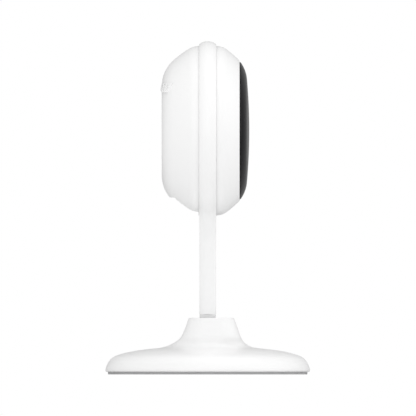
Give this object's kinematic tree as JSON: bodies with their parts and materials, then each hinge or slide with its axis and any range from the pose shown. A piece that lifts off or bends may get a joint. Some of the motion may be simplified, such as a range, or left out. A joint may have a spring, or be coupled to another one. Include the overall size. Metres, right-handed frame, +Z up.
{
  "type": "security camera",
  "caption": "Small indoor camera: round head with a domed black window, held by a thin ring on a slim tilting stem over a round weighted base.",
  "frame": {"origin": "on the desk, under the middle of the round base", "axes": "+Z up; the camera looks along -Y; X is across, along both tilt axes"},
  "size_m": [0.0716, 0.0716, 0.1166],
  "materials": {
    "white_plastic": "satin white moulded plastic",
    "black_window": "polished black",
    "clear_window": "clear polished",
    "grey_rubber": "matte",
    "black_rubber": "matte",
    "black_plastic": "matte",
    "steel": "bright zinc plated",
    "brass": "satin",
    "board": "solder mask",
    "chip": "matte",
    "black_metal": "black anodised",
    "foam": "foam",
    "lamp": "clear epoxy",
    "copper": "flexible printed foil",
    "grey_plastic": "satin"
  },
  "bodies": {
    "base": {"foot_pad": "grey_rubber", "base_plate": "white_plastic", "base_screws": "steel", "ballast_plate": "steel", "hinge_bracket": "steel", "bracket_screws": "steel", "hinge_pin": "steel", "base_cover": "white_plastic"},
    "stem": {"ring_stem": "white_plastic", "stem_tongue": "grey_plastic", "friction_washers": "steel", "pivot_pins": "steel", "pivot_springs": "steel"},
    "head": {"pivot_bushes": "brass", "rear_shell": "white_plastic", "front_shell": "white_plastic", "front_window": "black_window", "lens_window": "clear_window", "window_tape": "foam", "chassis": "black_plastic", "chassis_screws": "steel", "main_board": "board", "board_screws": "steel", "image_sensor": "chip", "lens_holder": "black_plastic", "infrared_filter": "clear_window", "lens_barrel": "black_metal", "lens_glasses": "clear_window", "lamp_board": "board", "lamp_board_screws": "steel", "infrared_lamps": "lamp", "light_sensor": "chip", "status_lamp": "lamp", "light_pipe": "lamp", "microphone": "steel", "microphone_boot": "black_rubber", "light_seal": "black_rubber", "processor": "chip", "shield_can": "steel", "heat_pad": "foam", "card_socket": "steel", "aerial": "copper", "speaker_gasket": "foam", "speaker": "black_plastic", "power_socket": "steel", "socket_board": "board", "reset_switch": "chip"},
    "reset_button": {"reset_button": "grey_plastic"}
  },
  "joints": [
    {"name": "stem_tilt", "type": "hinge", "parent": "base", "child": "stem", "pos_m": [0, 0, 0.0085], "axis": [1, 0, 0], "range_deg": [-10, 22]},
    {"name": "head_tilt", "type": "hinge", "parent": "stem", "child": "head", "pos_m": [0, 0, 0.0853], "axis": [1, 0, 0], "range_deg": [-20, 20]},
    {"name": "reset_press", "type": "slide", "parent": "head", "child": "reset_button", "axis": [0, -1, 0], "range_m": [0, 0.0005], "stiffness_N_per_m": 400, "springref_m": -0.0005}
  ]
}
